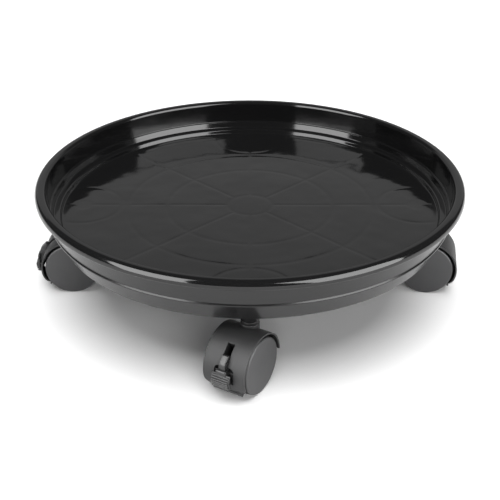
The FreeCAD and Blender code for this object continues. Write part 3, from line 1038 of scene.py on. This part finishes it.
def coat_steel():
    """The stems, rings, clips, axles and pins keep their CAD shapes."""
    finishes = {"plated_steel": STEEL, "blackened_steel": BLACK_STEEL}
    for row in frame["record"]["subparts"]:
        if row["material_slot"] in finishes:
            coat(frame["nodes"][row["node"]], finishes[row["material_slot"]])


# ---- studio, with its lengths in metres -------------------------------------------------
AIM_Z = 0.0274
DISTANCE = 0.775
ELEVATION = 28.9
LENS = 74.8
LIGHT_AIM_Z = 0.06
FLOOR_SPREAD = 20.0
WORLD_LIGHT = 0.08
CARD_LIGHT = 7.0
BACK_LIGHT = 0.32
SUN_LIGHT = 4.2
SUN_RISE = 81.0
SUN_WIDTH = 58.0
FILL_LIGHT = 9.0


def make_camera():
    rise = radians(ELEVATION)
    camera = bpy.data.objects.new("camera", bpy.data.cameras.new("camera"))
    scene.collection.objects.link(camera)
    camera.data.sensor_width = 36.0
    camera.data.lens = LENS
    camera.data.clip_start = 0.01
    camera.location = (0, -DISTANCE * cos(rise), AIM_Z + DISTANCE * sin(rise))
    camera.rotation_euler = (pi / 2 - rise, 0, 0)
    scene.camera = camera


def softbox(name, azimuth, elevation, distance, size, radiance, roll=0.0):
    """A soft light facing the tray; azimuth 0 is the camera's side, elevation 90 is overhead."""
    turn, rise = radians(azimuth), radians(elevation)
    away = Vector((sin(turn) * cos(rise), -cos(turn) * cos(rise), sin(rise)))
    lamp = bpy.data.lights.new(name, "AREA")
    lamp.shape = "RECTANGLE"
    lamp.size, lamp.size_y = size
    lamp.energy = radiance * pi * size[0] * size[1]
    made = bpy.data.objects.new(name, lamp)
    scene.collection.objects.link(made)
    made.location = Vector((0, 0, LIGHT_AIM_Z)) + away * distance
    made.rotation_euler = away.to_track_quat("Z", "Y").to_euler()
    made.rotation_euler.rotate_axis("Z", radians(roll))
    return made


def soft_sun():
    """An even overhead light, so that the floor stays pale far behind the tray."""
    lamp = bpy.data.lights.new("soft_sun", "SUN")
    lamp.energy = SUN_LIGHT
    lamp.angle = radians(SUN_WIDTH)
    made = bpy.data.objects.new("soft_sun", lamp)
    scene.collection.objects.link(made)
    made.rotation_euler = (pi / 2 - radians(SUN_RISE), 0, 0)
    return made


def make_floor():
    outline = [(0, 0), (0.5 / MM, 0), (FLOOR_SPREAD / MM, 0)]
    floor = lathe("studio_floor", outline, 96, closed=False)
    g = Graph("studio_floor")
    speckle = g.noise(30.0, 4.0, 0.6)
    coat(floor, g.finish(
        Base_Color=g.mix_colour(speckle, (0.90, 0.90, 0.90), (0.93, 0.93, 0.93)),
        Roughness=0.9, IOR=1.2))


def make_world():
    """Dim for the light and the reflections, white where the camera sees past the floor."""
    world = bpy.data.worlds.new("studio")
    scene.world = world
    world.use_nodes = True
    nodes, links = world.node_tree.nodes, world.node_tree.links
    seen = nodes.new("ShaderNodeLightPath").outputs["Is Camera Ray"]
    strength = nodes.new("ShaderNodeMapRange")
    strength.inputs["To Min"].default_value = WORLD_LIGHT
    strength.inputs["To Max"].default_value = 1.0
    nodes["Background"].inputs["Color"].default_value = (1, 1, 1, 1)
    links.new(seen, strength.inputs["Value"])
    links.new(strength.outputs["Result"], nodes["Background"].inputs["Strength"])


def make_studio():
    """Cards that only the gloss sees, and lights that it doesn't."""
    make_world()
    cards = [
        softbox("right_card", azimuth=52, elevation=28, distance=1.4, size=(1.3, 1.7),
                radiance=CARD_LIGHT),
        softbox("left_card", azimuth=-52, elevation=28, distance=1.4, size=(0.92, 1.7),
                radiance=CARD_LIGHT, roll=18),
        softbox("back_card", azimuth=180, elevation=22, distance=2.4, size=(4.0, 1.2),
                radiance=BACK_LIGHT),
    ]
    for card in cards:
        card.visible_diffuse = False
    front_fill = softbox("front_fill", azimuth=12, elevation=24, distance=2.2, size=(1.6, 0.6),
                         radiance=FILL_LIGHT)
    for lamp in (soft_sun(), front_fill):
        lamp.visible_glossy = False
    make_floor()


make_tray()
make_casters()
coat_steel()
make_camera()
make_studio()
scene.view_settings.view_transform = "Standard"
